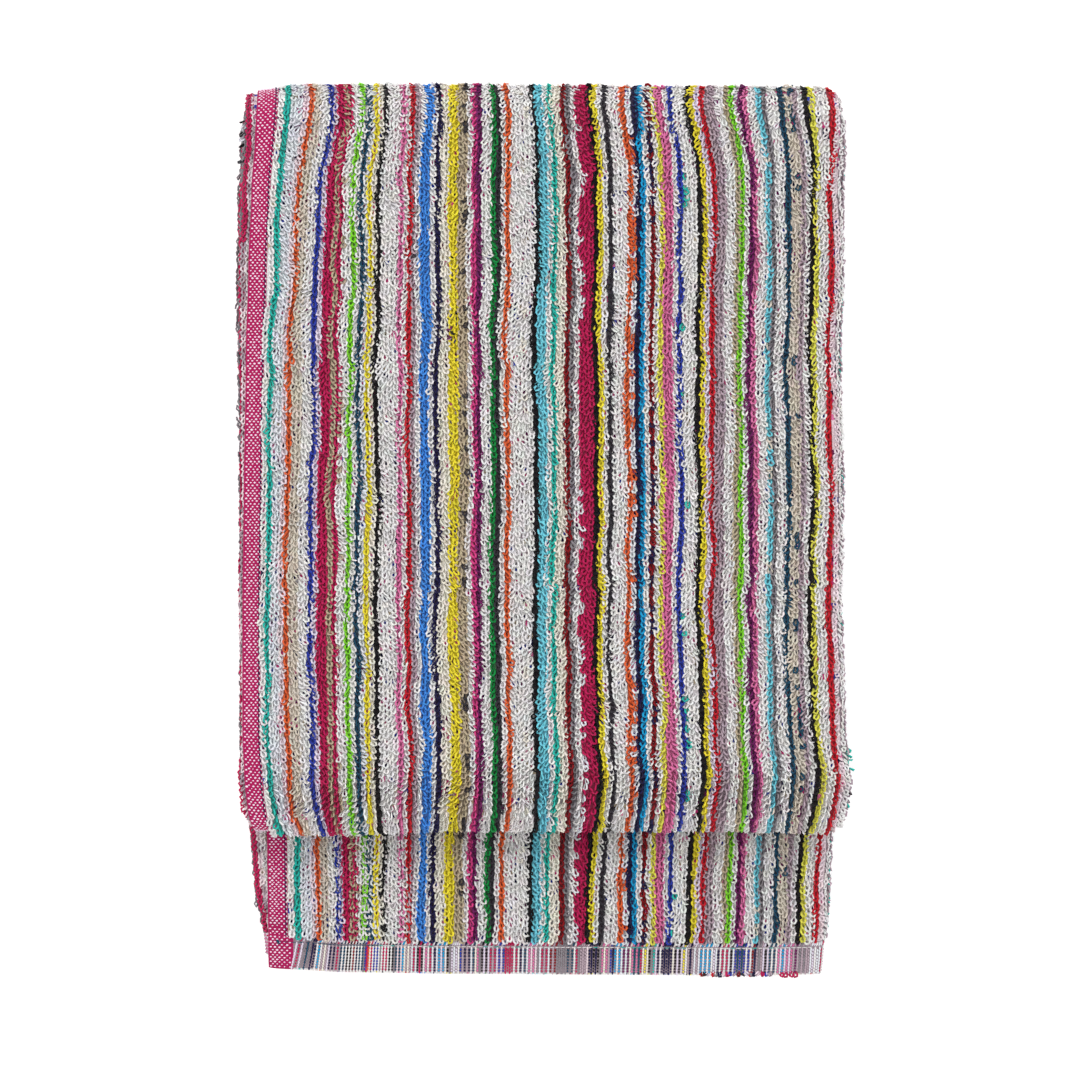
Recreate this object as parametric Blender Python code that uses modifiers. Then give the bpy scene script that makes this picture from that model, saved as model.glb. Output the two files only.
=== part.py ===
"""A bath towel: one terry cloth, folded in three across its width, then twice along its length, lying flat.

The flat cloth is a grid of columns (across, from the visible selvage) and rows (along, from the hidden hem).
Across, the cloth goes back and forth in three layers, which make one slab.
Along, that slab goes back and forth in four runs, stacked from the floor up.
X runs across the folded towel, Y along it and Z up. All sizes below are in millimetres.
"""

import math
from collections import namedtuple

import bmesh
import bpy

MM = 0.001
TOWEL = "towel"

# The cloth: thickness of terry and of plain weave, then its flat-woven borders
TERRY = 2.2
WOVEN = 1.4
PANEL = 239.0
SELVAGE = 7.0
HEM = 14.0
STEP = 1.5

# Three layers in a slab, four slabs in the stack
LAYER_GAP = 0.6
SLAB_GAP = 1.0
LAYER_PITCH = TERRY + LAYER_GAP
SLAB = 2 * LAYER_PITCH + TERRY
SLAB_PITCH = SLAB + SLAB_GAP
HEM_PITCH = 2.0
SEAM_PITCH = 2.5
SETTLE = 20.0

# The folded outline along Y
TOP_EDGE = 179.0
FLAP_EDGE = -118.6
HEM_EDGE = -177.8
UNDER_HEM_EDGE = -173.0
WRAP_Y = TOP_EDGE - 1.5 * SLAB_PITCH - SLAB / 2
FOLD_Y = FLAP_EDGE + 0.5 * SLAB_PITCH + SLAB / 2
HEM_DROOP = 2.5
DROOP_REACH = 8.0

# The folded outline along X, one row for each place down a run
Edge = namedtuple("Edge", "y selvage left right")
FLAP_TOP = (
    Edge(162.0, -114.8, -119.6, 120.8),
    Edge(135.0, -116.4, -121.0, 119.8),
    Edge(105.0, -117.6, -121.6, 120.1),
    Edge(70.0, -118.6, -121.2, 118.9),
    Edge(12.0, -119.4, -121.2, 120.1),
    Edge(-25.0, -119.9, -121.8, 119.3),
    Edge(-80.0, -120.0, -121.0, 120.8),
    Edge(-99.0, -119.2, -121.2, 122.4),
    Edge(-110.5, -118.0, -119.8, 120.8),
)
FLAP_UNDER = (
    Edge(162.0, -114.0, -120.6, 119.4),
    Edge(70.0, -117.4, -122.2, 118.0),
    Edge(-20.0, -118.6, -121.6, 118.4),
    Edge(-98.0, -117.6, -121.7, 120.2),
    Edge(-110.5, -116.8, -118.6, 119.4),
)
BACK_TOP = (
    Edge(162.0, -115.0, -121.6, 118.8),
    Edge(130.0, -116.4, -122.6, 118.2),
    Edge(95.0, -117.0, -123.3, 119.0),
    Edge(45.0, -116.6, -121.8, 117.6),
    Edge(-19.0, -115.8, -122.0, 117.8),
    Edge(-55.0, -114.8, -120.4, 117.2),
    Edge(-99.0, -112.4, -121.4, 117.6),
    Edge(-120.0, -110.4, -117.4, 115.8),
    Edge(-148.0, -110.2, -115.8, 114.6),
    Edge(-163.0, -110.0, -112.9, 113.7),
    Edge(-171.0, -110.0, -111.4, 112.8),
    Edge(-178.0, -110.0, -109.4, 112.2),
)
BACK_UNDER = (
    Edge(162.0, -115.6, -121.0, 119.4),
    Edge(95.0, -117.0, -122.6, 118.6),
    Edge(20.0, -117.0, -121.6, 118.2),
    Edge(-60.0, -115.4, -121.0, 117.6),
    Edge(-120.0, -112.6, -117.0, 115.4),
    Edge(-158.0, -111.4, -113.4, 113.4),
    Edge(-173.0, -110.6, -112.0, 112.2),
)
# Where the hidden selvage of the inner layer lies along X
INNER_EDGE = 96.0

# The three cross lines that bend with X: how far each lies above its edge above
Line = namedtuple("Line", "x top flap hem")
CROSS_LINES = (
    Line(-122.0, -2.0, -2.0, 3.2),
    Line(-98.0, 0.0, -1.8, 2.0),
    Line(-80.0, 0.0, -1.4, 0.9),
    Line(-36.0, 0.0, 0.0, 0.3),
    Line(16.0, -0.4, 0.0, 0.0),
    Line(78.0, -0.8, 0.0, -0.4),
    Line(122.0, -1.0, -1.2, 0.2),
)

# How far the cloth is drawn in from each side where it turns over
Pinch = namedtuple("Pinch", "left right")
TOP_PINCH = Pinch(1.0, 0.6)
FLAP_PINCH = Pinch(1.8, 1.2)

# Rounded corners of those lines: side of the cloth there, radius and how much of it is skipped at the side
Corner = namedtuple("Corner", "side radius skip")
TOP_CORNERS = (Corner(-120.0, 4.0, 1.0), Corner(121.0, 12.0, 1.2))
FLAP_CORNERS = (Corner(-120.0, 8.0, 2.5), Corner(121.0, 3.0, 1.0))
HEM_CORNERS = (Corner(-111.5, 3.0, 0.8), Corner(113.0, 4.0, 1.0))

# Where each cross line's bend starts along Y, and where it has its full size
TOP_FADE = (117.0, 157.0)
FLAP_FADE_FROM_HEM = (-150.0, -125.0)
FLAP_FADE_FROM_TOP = (-75.0, -105.0)
HEM_FADE = (-135.0, -160.0)

# Loft: the stack is a little lower at its sides and has one shallow hollow
SIDE_SINK = 0.05
SIDE_X = 122.0
SIDE_SHARPNESS = 4
HOLLOW_DEPTH = 0.03
HOLLOW_CENTRE = (28.0, 20.0)
HOLLOW_REACH = (95.0, 120.0)

# Grid steps for each stretch
TOP_PANEL_STEPS = 6
BOTTOM_PANEL_STEPS = 6
INNER_PANEL_STEPS = 4
WIDE_FOLD_STEPS = 6
TIGHT_FOLD_STEPS = 4
OUTER_WRAP_STEPS = 10
TURN_STEPS = 6
LONGEST_STEP = 36.0
LONGEST_HIDDEN_STEP = 62.0

Column = namedtuple("Column", "panel part woven")
Row = namedtuple("Row", "y z normal_y normal_z edges pitch woven")


def smooth(value):
    """A soft step from 0 to 1 as value goes from 0 to 1."""
    value = min(max(value, 0.0), 1.0)
    return value * value * (3 - 2 * value)


def mix(start, end, part):
    return start + (end - start) * part


def fade(y, ends):
    """A soft step from 0 at the first end to 1 at the second."""
    start, full = ends
    return smooth((y - start) / (full - start))


def look_up(table, key, names):
    """The named columns of a table at this key, passing softly from each row to the next."""
    rows = sorted(table, key=lambda row: row[0])
    key = min(max(key, rows[0][0]), rows[-1][0])
    for low, high in zip(rows, rows[1:]):
        if key <= high[0]:
            part = smooth((key - low[0]) / (high[0] - low[0]))
            return [mix(getattr(low, name), getattr(high, name), part) for name in names]


def spread(start, end, steps):
    return [mix(start, end, step / steps) for step in range(steps + 1)]


def edges_at(table, y):
    return look_up(table, y, ("selvage", "left", "right"))


def places(table, start, end, longest):
    """Where the rows of a run lie along Y: its ends, its table's places and more between far ones."""
    low, high = sorted((start, end))
    inside = [edge.y for edge in table if low + STEP < edge.y < high - STEP]
    stops = [start] + sorted(inside, reverse=start > end) + [end]
    found = [start]
    for near, far in zip(stops, stops[1:]):
        found += spread(near, far, math.ceil(abs(far - near) / longest))[1:]
    return found


def columns():
    """Every column of the flat cloth, from the visible selvage to the hidden one."""
    seam = SELVAGE / PANEL
    step = (SELVAGE + STEP) / PANEL
    found = [Column("top", 0.0, True), Column("top", seam, True)]
    found += [Column("top", part, False) for part in spread(step, 1.0, TOP_PANEL_STEPS)]
    found += [Column("right fold", part, False) for part in spread(0, 1, WIDE_FOLD_STEPS)[1:-1]]
    found += [Column("bottom", part, False) for part in spread(0, 1, BOTTOM_PANEL_STEPS)]
    found += [Column("left fold", part, False) for part in spread(0, 1, TIGHT_FOLD_STEPS)[1:-1]]
    found += [Column("inner", part, False) for part in spread(0, 1 - step, INNER_PANEL_STEPS)]
    found += [Column("inner", 1 - seam, True), Column("inner", 1.0, True)]
    return found


def pitch_near(hem_y, y):
    """The pitch of the layers, which close up towards the hem."""
    inside = y - hem_y - HEM
    if inside > 0:
        return mix(SEAM_PITCH, LAYER_PITCH, smooth(inside / SETTLE))
    return mix(HEM_PITCH, SEAM_PITCH, (y - hem_y) / HEM)


def run(table, slab, facing, along, hem_y):
    """The rows of one run of the slab: facing is 1 where the selvage is on top and -1 where it is below."""
    found = []
    for y in along:
        woven = y < hem_y + HEM + STEP / 2
        pitch = pitch_near(hem_y, y)
        thickness = 2 * pitch + (WOVEN if woven else TERRY)
        z = thickness / 2 + slab * (thickness + SLAB_GAP)
        if slab == 1:  # the upper hem droops past the edge of the lower one
            z -= HEM_DROOP * smooth(1 - (y - hem_y) / DROOP_REACH)
        found.append(Row(y, z, 0.0, facing, edges_at(table, y), pitch, woven))
    return found


def bend(before, after, side, outside, pinch, steps):
    """The rows between two runs, round a half circle that bulges to side along Y."""
    middle = (before.z + after.z) / 2
    radius = (before.z - after.z) / 2
    found = []
    for part in spread(0, 1, steps)[1:-1]:
        turn = math.pi * part
        reach = side * abs(radius) * math.sin(turn)
        height = radius * math.cos(turn)
        normal_y = outside * side * math.sin(turn)
        normal_z = before.normal_z * math.cos(turn)
        selvage, left, right = (mix(a, b, smooth(part)) for a, b in zip(before.edges, after.edges))
        drawn = math.sin(turn)
        edges = [selvage + pinch.left * drawn, left + pinch.left * drawn, right - pinch.right * drawn]
        found.append(Row(before.y + reach, middle + height, normal_y, normal_z, edges, LAYER_PITCH, False))
    return found


def hem_places(hem_y):
    """Where the rows of a hem lie along Y, from its edge to the first row of terry."""
    return [hem_y, hem_y + HEM / 2, hem_y + HEM, hem_y + HEM + STEP]


def rows():
    """Every row of the flat cloth, from the hidden hem to the visible one."""
    under_hem = hem_places(UNDER_HEM_EDGE)
    under_terry = places(BACK_UNDER, under_hem[-1], WRAP_Y, LONGEST_HIDDEN_STEP)
    back_under = run(BACK_UNDER, 0, -1, under_hem[:-1] + under_terry, UNDER_HEM_EDGE)
    flap_top = run(FLAP_TOP, 3, 1, places(FLAP_TOP, WRAP_Y, FOLD_Y, LONGEST_STEP), HEM_EDGE)
    hidden = places(FLAP_UNDER, FOLD_Y, WRAP_Y, LONGEST_HIDDEN_STEP)
    flap_under = run(FLAP_UNDER, 2, -1, hidden, HEM_EDGE)
    top_hem = hem_places(HEM_EDGE)
    top_terry = places(BACK_TOP, WRAP_Y, top_hem[-1], LONGEST_STEP)
    back_top = run(BACK_TOP, 1, 1, top_terry + top_hem[-2::-1], HEM_EDGE)
    return (
        back_under
        + bend(back_under[-1], flap_top[0], 1, 1, TOP_PINCH, OUTER_WRAP_STEPS)
        + flap_top
        + bend(flap_top[-1], flap_under[0], -1, 1, FLAP_PINCH, TURN_STEPS)
        + flap_under
        + bend(flap_under[-1], back_top[0], 1, -1, TOP_PINCH, TURN_STEPS)
        + back_top
    )


def across(column, row):
    """X, and the height from the slab's middle, of one column in one row."""
    selvage, left, right = row.edges
    right_centre = right - row.pitch - TERRY / 2
    left_centre = left + row.pitch / 2 + TERRY / 2
    turn = math.pi * column.part
    if column.panel == "top":
        return mix(selvage, right_centre, column.part), row.pitch
    if column.panel == "right fold":
        return right_centre + row.pitch * math.sin(turn), row.pitch * math.cos(turn)
    if column.panel == "bottom":
        return mix(right_centre, left_centre, column.part), -row.pitch
    if column.panel == "left fold":
        return left_centre - row.pitch / 2 * math.sin(turn), -row.pitch * (1 + math.cos(turn)) / 2
    return mix(left_centre, INNER_EDGE, column.part), 0.0


def corner_drop(corners, x):
    """How far a cross line falls back in its rounded corner at x."""
    corner = corners[0] if x < 0 else corners[1]
    inside = abs(corner.side) - abs(x)
    short = corner.radius - max(inside, 0.0) - corner.skip
    if short <= 0:
        return 0.0
    return corner.radius - math.sqrt(corner.radius ** 2 - short ** 2)


def shift(x, y):
    """How far the cross lines carry this place along Y."""
    top, flap, hem = look_up(CROSS_LINES, x, ("top", "flap", "hem"))
    top -= corner_drop(TOP_CORNERS, x)
    flap += corner_drop(FLAP_CORNERS, x)
    hem += corner_drop(HEM_CORNERS, x)
    near_flap = fade(y, FLAP_FADE_FROM_HEM) * fade(y, FLAP_FADE_FROM_TOP)
    return top * fade(y, TOP_FADE) + flap * near_flap + hem * fade(y, HEM_FADE)


def loft(x, y):
    """What the stack's heights are multiplied by at this place."""
    side = SIDE_SINK * (x / SIDE_X) ** SIDE_SHARPNESS
    across_hollow = (x - HOLLOW_CENTRE[0]) / HOLLOW_REACH[0]
    along_hollow = (y - HOLLOW_CENTRE[1]) / HOLLOW_REACH[1]
    hollow = HOLLOW_DEPTH * math.exp(-(across_hollow ** 2) - along_hollow ** 2)
    return 1 - side - hollow


def folded(column, row):
    """Where one point of the cloth's middle lies once it is folded, in millimetres."""
    x, height = across(column, row)
    y = row.y + height * row.normal_y
    z = row.z + height * row.normal_z
    lowest = TERRY / 2  # the lowest layer stays flat on the surface
    return x, y + shift(x, y), lowest + (z - lowest) * loft(x, y)


def towel_mesh():
    """The folded middle of the cloth as a grid, with its share of the full thickness for each vertex."""
    all_columns = columns()
    all_rows = rows()
    grid = bmesh.new()
    across_steps = len(all_columns) - 1
    along_steps = len(all_rows) - 1
    bmesh.ops.create_grid(grid, x_segments=across_steps, y_segments=along_steps, size=0.5)
    thin = []
    for vertex in grid.verts:
        column = all_columns[round((vertex.co.x + 0.5) * across_steps)]
        row = all_rows[round((vertex.co.y + 0.5) * along_steps)]
        vertex.co = [value * MM for value in folded(column, row)]
        if column.woven or row.woven:
            thin.append(vertex.index)
    mesh = bpy.data.meshes.new(TOWEL)
    grid.to_mesh(mesh)
    grid.free()
    return mesh, thin


def centre_outline(mesh):
    """Puts the origin at the middle of the outline. The lowest layer already lies on the surface."""
    for axis in range(2):
        places = [vertex.co[axis] for vertex in mesh.vertices]
        middle = (min(places) + max(places)) / 2
        for vertex in mesh.vertices:
            vertex.co[axis] -= middle


def terry_material():
    """The mean colour of the striped loops, which are rough cotton."""
    material = bpy.data.materials.new("terry")
    material.use_nodes = True
    shader = material.node_tree.nodes["Principled BSDF"]
    shader.inputs["Base Color"].default_value = (0.36, 0.12, 0.19, 1.0)
    shader.inputs["Roughness"].default_value = 0.95
    shader.inputs["Metallic"].default_value = 0.0
    return material


def add_towel(collection):
    mesh, thin = towel_mesh()
    centre_outline(mesh)
    mesh.materials.append(terry_material())
    towel = bpy.data.objects.new(TOWEL, mesh)
    collection.objects.link(towel)
    pile = towel.vertex_groups.new(name="pile")
    pile.add(range(len(mesh.vertices)), 1.0, "REPLACE")
    pile.add(thin, WOVEN / TERRY, "REPLACE")
    thickness = towel.modifiers.new("thickness", "SOLIDIFY")
    thickness.thickness = TERRY * MM
    thickness.offset = 0.0
    thickness.vertex_group = pile.name
    mesh.shade_smooth()


def main():
    for leftover in list(bpy.data.objects):
        bpy.data.objects.remove(leftover)
    collection = bpy.data.collections.new("folded bath towel")
    bpy.context.scene.collection.children.link(collection)
    add_towel(collection)


main()
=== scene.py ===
"""The looks of the folded bath towel: looped terry pile, woven selvage and hem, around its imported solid.

The flat cloth is folded here along the same path as its solid. A closed ground sheet follows that path, and
real loops of yarn stand on its face wherever it shows, each in the colour of its stripe.
Lengths are millimetres until a mesh is made. X runs across the towel, Y along it and Z up.
U is the distance across the flat cloth, from the visible selvage, and V the distance along it.
"""

import math
from collections import namedtuple
from functools import partialmethod

import bpy
import numpy as np
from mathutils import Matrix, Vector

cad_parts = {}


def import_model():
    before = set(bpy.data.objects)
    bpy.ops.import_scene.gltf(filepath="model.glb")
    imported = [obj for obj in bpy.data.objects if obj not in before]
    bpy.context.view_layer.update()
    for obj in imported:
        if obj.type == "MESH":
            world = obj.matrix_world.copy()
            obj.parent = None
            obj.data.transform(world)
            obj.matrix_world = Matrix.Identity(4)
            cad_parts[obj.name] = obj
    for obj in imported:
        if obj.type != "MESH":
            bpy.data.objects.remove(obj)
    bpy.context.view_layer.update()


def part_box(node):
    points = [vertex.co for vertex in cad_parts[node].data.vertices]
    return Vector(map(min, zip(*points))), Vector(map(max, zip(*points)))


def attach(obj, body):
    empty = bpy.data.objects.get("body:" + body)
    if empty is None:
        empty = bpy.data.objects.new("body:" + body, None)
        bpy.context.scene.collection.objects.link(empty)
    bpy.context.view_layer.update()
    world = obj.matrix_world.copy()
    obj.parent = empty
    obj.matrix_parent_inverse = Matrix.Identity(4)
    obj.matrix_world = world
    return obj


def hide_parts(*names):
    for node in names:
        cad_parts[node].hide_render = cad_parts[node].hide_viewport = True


MM = 0.001
NODE = "towel"
BODY = "root"
SEED = 7


def rows_of(columns, *rows):
    """A table: each row with its values under these named columns."""
    row_type = namedtuple("Row", columns)
    return [row_type(*row) for row in rows]


# The solid's cloth and its flat-woven borders
TERRY = 2.2
WOVEN = 1.4
PANEL = 239.0
SELVAGE = 7.0
HEM = 14.0
STEP = 1.5
LAYER_PITCH = 2.8
SLAB_GAP = 1.0
SLAB = 2 * LAYER_PITCH + TERRY
SLAB_PITCH = SLAB + SLAB_GAP
HEM_PITCH = 2.0
SEAM_PITCH = 2.5
SETTLE = 20.0

# The folded outline along Y
TOP_EDGE = 179.0
FLAP_EDGE = -118.6
HEM_EDGE = -177.8
UNDER_HEM_EDGE = -173.0
WRAP_Y = TOP_EDGE - 1.5 * SLAB_PITCH - SLAB / 2
FOLD_Y = FLAP_EDGE + 0.5 * SLAB_PITCH + SLAB / 2
HEM_DROOP = 2.5
DROOP_REACH = 8.0

# The folded outline along X, one row for each place down a run
EDGES = "y selvage left right"
FLAP_TOP = rows_of(
    EDGES,
    (162, -114.8, -119.6, 120.8),
    (135, -116.4, -121, 119.8),
    (105, -117.6, -121.6, 120.1),
    (70, -118.6, -121.2, 118.9),
    (12, -119.4, -121.2, 120.1),
    (-25, -119.9, -121.8, 119.3),
    (-80, -120, -121, 120.8),
    (-99, -119.2, -121.2, 122.4),
    (-110.5, -118, -119.8, 120.8),
)
FLAP_UNDER = rows_of(
    EDGES,
    (162, -114, -120.6, 119.4),
    (70, -117.4, -122.2, 118),
    (-20, -118.6, -121.6, 118.4),
    (-98, -117.6, -121.7, 120.2),
    (-110.5, -116.8, -118.6, 119.4),
)
BACK_TOP = rows_of(
    EDGES,
    (162, -115, -121.6, 118.8),
    (130, -116.4, -122.6, 118.2),
    (95, -117, -123.3, 119),
    (45, -116.6, -121.8, 117.6),
    (-19, -115.8, -122, 117.8),
    (-55, -114.8, -120.4, 117.2),
    (-99, -112.4, -121.4, 117.6),
    (-120, -110.4, -117.4, 115.8),
    (-148, -110.2, -115.8, 114.6),
    (-163, -110, -112.9, 113.7),
    (-171, -110, -111.4, 112.8),
    (-178, -110, -109.4, 112.2),
)
BACK_UNDER = rows_of(
    EDGES,
    (162, -115.6, -121, 119.4),
    (95, -117, -122.6, 118.6),
    (20, -117, -121.6, 118.2),
    (-60, -115.4, -121, 117.6),
    (-120, -112.6, -117, 115.4),
    (-158, -111.4, -113.4, 113.4),
    (-173, -110.6, -112, 112.2),
)
INNER_EDGE = 96.0

# How the cross lines bend, and where the cloth is drawn in at its turns
CROSS_LINES = rows_of(
    "x top flap hem",
    (-122, -2, -2, 3.2),
    (-98, 0, -1.8, 2),
    (-80, 0, -1.4, 0.9),
    (-36, 0, 0, 0.3),
    (16, -0.4, 0, 0),
    (78, -0.8, 0, -0.4),
    (122, -1, -1.2, 0.2),
)
Pinch = namedtuple("Pinch", "left right")
TOP_PINCH = Pinch(1.0, 0.6)
FLAP_PINCH = Pinch(1.8, 1.2)
Corner = namedtuple("Corner", "side radius skip")
TOP_CORNERS = (Corner(-120.0, 4.0, 1.0), Corner(121.0, 12.0, 1.2))
FLAP_CORNERS = (Corner(-120.0, 8.0, 2.5), Corner(121.0, 3.0, 1.0))
HEM_CORNERS = (Corner(-111.5, 3.0, 0.8), Corner(113.0, 4.0, 1.0))
TOP_FADE = (117.0, 157.0)
FLAP_FADE_FROM_HEM = (-150.0, -125.0)
FLAP_FADE_FROM_TOP = (-75.0, -105.0)
HEM_FADE = (-135.0, -160.0)

# Loft: the stack is a little lower at its sides and has one shallow hollow
SIDE_SINK = 0.05
SIDE_X = 122.0
SIDE_SHARPNESS = 4
HOLLOW_DEPTH = 0.03
HOLLOW_CENTRE = (28.0, 20.0)
HOLLOW_REACH = (95.0, 120.0)

# Where each panel of the flat cloth starts along U
RIGHT_FOLD_U = PANEL
BOTTOM_U = RIGHT_FOLD_U + math.pi * LAYER_PITCH
LEFT_FOLD_U = BOTTOM_U + PANEL
INNER_U = LEFT_FOLD_U + math.pi * LAYER_PITCH / 2
END_U = INNER_U + 215.0
RIGHT_TURN_U = (RIGHT_FOLD_U + BOTTOM_U) / 2
LEFT_TURN_U = (LEFT_FOLD_U + INNER_U) / 2

# Steps of the path along V, and how many points across and along find the outline
RUN_STEP = 2.0
WRAP_STEPS = 30
TURN_STEPS = 16
OUTLINE_POINTS = (700, 1400)

# The selvage near the top swings right, and takes only the stripes beside it along
STRAIGHT_SELVAGE = -119.6
SWING_REACH = 62.0
SWING_CREST = 14.0
SWING_GAIN = 0.35

# How far the stripes bend to the right within the cloth, at the top edge and at the flap's fold
SWAYS = rows_of(
    "u top fold",
    (0, 0, 0), (20, 2.6, 0.6), (42, 2, 0.4), (52, 2.6, 0.3), (66, 1, 0.2),
    (112, -0.4, 0), (138, -3, -0.4), (160, -2.8, 0.4), (184, -5, -0.4), (194, -5, 0.6),
    (203, -4.6, 2), (212, -5.2, 0.8), (224, -3.4, 0.2), (232, -3, -1), (239, 0, 0),
)
SWAY_TOP = 20.0
SWAY_FOLD = 11.0

# The left fold rides a little higher round the wrap, where no layer lies over it
LEFT_RISE = 1.9
LEFT_RISE_REACH = 8.0
LEFT_RISE_FADE = 15.0

# Ground sheet: its two faces, from the cloth's middle, and its rim
NUDGE = 0.4
GROUND_FACE = 0.5
GROUND_BACK = 0.9
GROUND_WOVEN = 0.6
GROUND_UNDER = 1.0
UNDER_FADE = 8.0
RIM_BULGE = 0.45
PRESS_BELOW = 1.4

# Ground sheet: its columns on the selvage, then the steps to the end of each further stretch, and its rows
SELVAGE_COLUMNS = (0.0, 1.5, 3.5, 5.5, SELVAGE, SELVAGE + STEP)
GROUND_STRETCHES = rows_of(
    "end steps",
    (PANEL - 12.0, 43), (PANEL, 6), (BOTTOM_U, 8), (BOTTOM_U + 12.0, 4),
    (LEFT_FOLD_U, 17), (INNER_U, 5), (END_U, 8),
)
HEM_ROWS = (0.0, 3.0, HEM / 2, HEM, HEM + STEP)
FLAT_ROW = 7.0
HIDDEN_ROW = 14.0
WRAP_ROW = 2.2
TURN_ROW = 1.6

# Terry loops: their grid on the cloth, then their shape
YARN_PITCH = 1.9
LOOP_PITCH = 2.36
FIRST_YARN_U = 8.0
MARGIN_YARNS = 4
MARGIN_YARN_U = FIRST_YARN_U - MARGIN_YARNS * YARN_PITCH
YARNS = 122
LEFT_YARNS = 6
LOOPS_A_PIECE = 6200
BARE_BELOW = 8.0
STRIP_SHOWN = 68.0
YARN_RADIUS = 0.54
YARN_DEPTH = 0.55
TUBE_SIDES = 3
TUBE_TURN = math.radians(30)
CELL_MARGIN = 0.06
FOOT_WIDTH = 0.7
FOOT_SUNK = 0.15
FOOT_BACK = 0.25
SAG = 0.25
ARCH = 0.25

# Half of a loop's centre line, for each number of segments: how far to its side and how far out, as shares
LOOP_SHAPES = {5: ((0.98, 0.62), (0.60, 0.97)), 4: ((1.0, 0.60), (0.0, 1.02))}
Style = namedtuple("Style", "length width lift twist lean segments")
FLAT_PILE = Style(3.1, 1.9, 26.0, 24.0, 1.0, 5)
STRIP_PILE = Style(3.1, 1.9, 28.0, 24.0, 0.55, 5)
RIGHT_PILE = Style(2.5, 1.9, 22.0, 24.0, 1.0, 4)
LEFT_PILE = Style(2.6, 1.9, 12.0, 12.0, 0.5, 4)
STRAY_PILE = Style(2.9, 1.7, 0.0, 30.0, 1.0, 5)

# How unevenly the loops lie: swells over the cloth, and scatter from one loop to the next
Swell = namedtuple("Swell", "size u_reach v_reach")
LEAN_SWELL = Swell(40.0, 6.0, 22.0)
LEAN_RIPPLE = Swell(26.0, 1.9, 7.0)
WANDER_SWELL = Swell(0.75, 9.0, 15.0)
MARL_SWELL = Swell(0.3, 1.9, 9.0)
LEAN_SCATTER = 12.0
LIFT_SCATTER = 8.0
SIZE_SCATTER = 0.07
WANDER_SCATTER = 0.1
SHADE_SCATTER = 0.05
HUE_SCATTER = 0.018
MARL_SCATTER = 0.14
MARL_MIDDLE = 0.5

# Where the loops stand up: at the flap's fold and a little over the wrap, but not along its crest
STANDING_LIFT = 22.0
STANDING_TWIST = 60.0
FOLD_STANDING = (24.0, 6.0)
WRAP_FADE = (6.0, 12.0)
WRAP_UNDER = 10.0
WRAP_STANDING = 0.3
CREST_FLAT = 0.75
CREST_REACH = 16.0
CREST_WIDTH = 1.5

# Painted shade at a yarn's foot, paler and darker yarns apart, and painted light on its lower side
PALE = 0.5
PALE_FOOT_SHADE = 0.9
DARK_FOOT_SHADE = 0.72
UNDERSIDE_PAINTED_LIGHT = 1.2

# Named colours, as sRGB values out of 255
COLOURS = {
    "white": (228, 226, 225), "cool": (220, 223, 228), "ivory": (229, 224, 212),
    "blush": (227, 209, 215), "lilac": (217, 207, 223), "ecru": (209, 199, 185),
    "petal": (238, 214, 232), "cerise": (192, 22, 100), "magenta": (184, 24, 82),
    "fuchsia": (204, 62, 128), "pink": (214, 112, 160), "mauve": (176, 156, 166),
    "purple": (106, 24, 88), "maroon": (130, 10, 20), "red": (192, 24, 40),
    "orange": (216, 94, 48), "yellow": (228, 212, 52), "lemon": (222, 218, 84),
    "lime": (124, 206, 42), "green": (14, 134, 62), "teal": (40, 180, 166),
    "aqua": (112, 200, 216), "cerulean": (20, 154, 206), "cornflower": (66, 138, 220),
    "royal": (42, 58, 158), "petrol": (26, 70, 94), "navy": (26, 22, 66),
    "taupe": (184, 168, 142), "grey": (134, 129, 134), "charcoal": (50, 47, 54),
    "black": (13, 13, 16),
}

# The yarns from the left fold to the right one: colour and number, as charted. The first four lie
# under the visible selvage, and show only where the cloth comes round the left fold.
CHART = """
    grey 2, magenta, blush, white, teal, cool 2, blush, orange, ecru 2, white 2, royal, lilac,
    magenta 2, taupe, magenta, white 2, lime, white, petrol, cool, yellow, ivory, black, white 4, pink,
    white, red, mauve, white, cornflower 2, white, navy, ivory 2, yellow 2, taupe 2, white, fuchsia,
    purple, white 2, green, charcoal, white, orange, white 5, black, aqua 2, white, teal, ivory 2,
    maroon, grey, white, magenta 3, black, yellow, white, charcoal, white 3, orange, cool, navy,
    cerulean, white, maroon, white, lemon, pink 2, white, royal, white 3, black, yellow, lilac, red,
    mauve 2, white 2, taupe, lime, white, purple, pink, white 2, aqua, grey, white 2, petrol, ecru 2,
    mauve, white, black, lemon, white 2, red, blush, mauve
"""

# The yarns that come round the right fold, from the top
TURN_COLOURS = ("blush", "white", "mauve", "teal", "black", "white", "royal")

# Yarns in which some loops are of a second colour
MARLS = rows_of(
    "yarn second share",
    (3, "mauve", 0.5), (20, "taupe", 0.3), (36, "mauve", 0.3), (47, "charcoal", 0.35),
    (60, "ivory", 0.25), (72, "cool", 0.4), (83, "orange", 0.35), (87, "navy", 0.4),
    (94, "teal", 0.3), (112, "ecru", 0.3), (118, "petrol", 0.35),
)

# Loose ends of the pile's yarns that peep out below the hem's right half
Ends = namedtuple("Ends", "start end pitch inset style colours")
HEM_ENDS = Ends(192.0, 222.0, 1.5, 1.0, Style(2.0, 1.1, 6.0, 12.0, 1.0, 5), (
    "maroon", "charcoal", "lilac", "red", "grey", "navy", "blush", "magenta", "royal", "mauve"))
CLUSTER_ENDS = Ends(225.0, 232.0, 1.9, 0.6, Style(2.3, 1.6, 4.0, 8.0, 1.0, 5), ("magenta",))

# A float is a short length of yarn that lies on the cloth, made of three rings
Float = namedtuple("Float", "u v u_reach v_reach radius colour")
FLOAT_RINGS = rows_of("along swell rise", (-1, 0.55, -0.12), (0, 1.0, 0.08), (1, 0.55, -0.12))
FLOAT_CORNERS = 4
FLOAT_FLATNESS = 0.8

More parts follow.
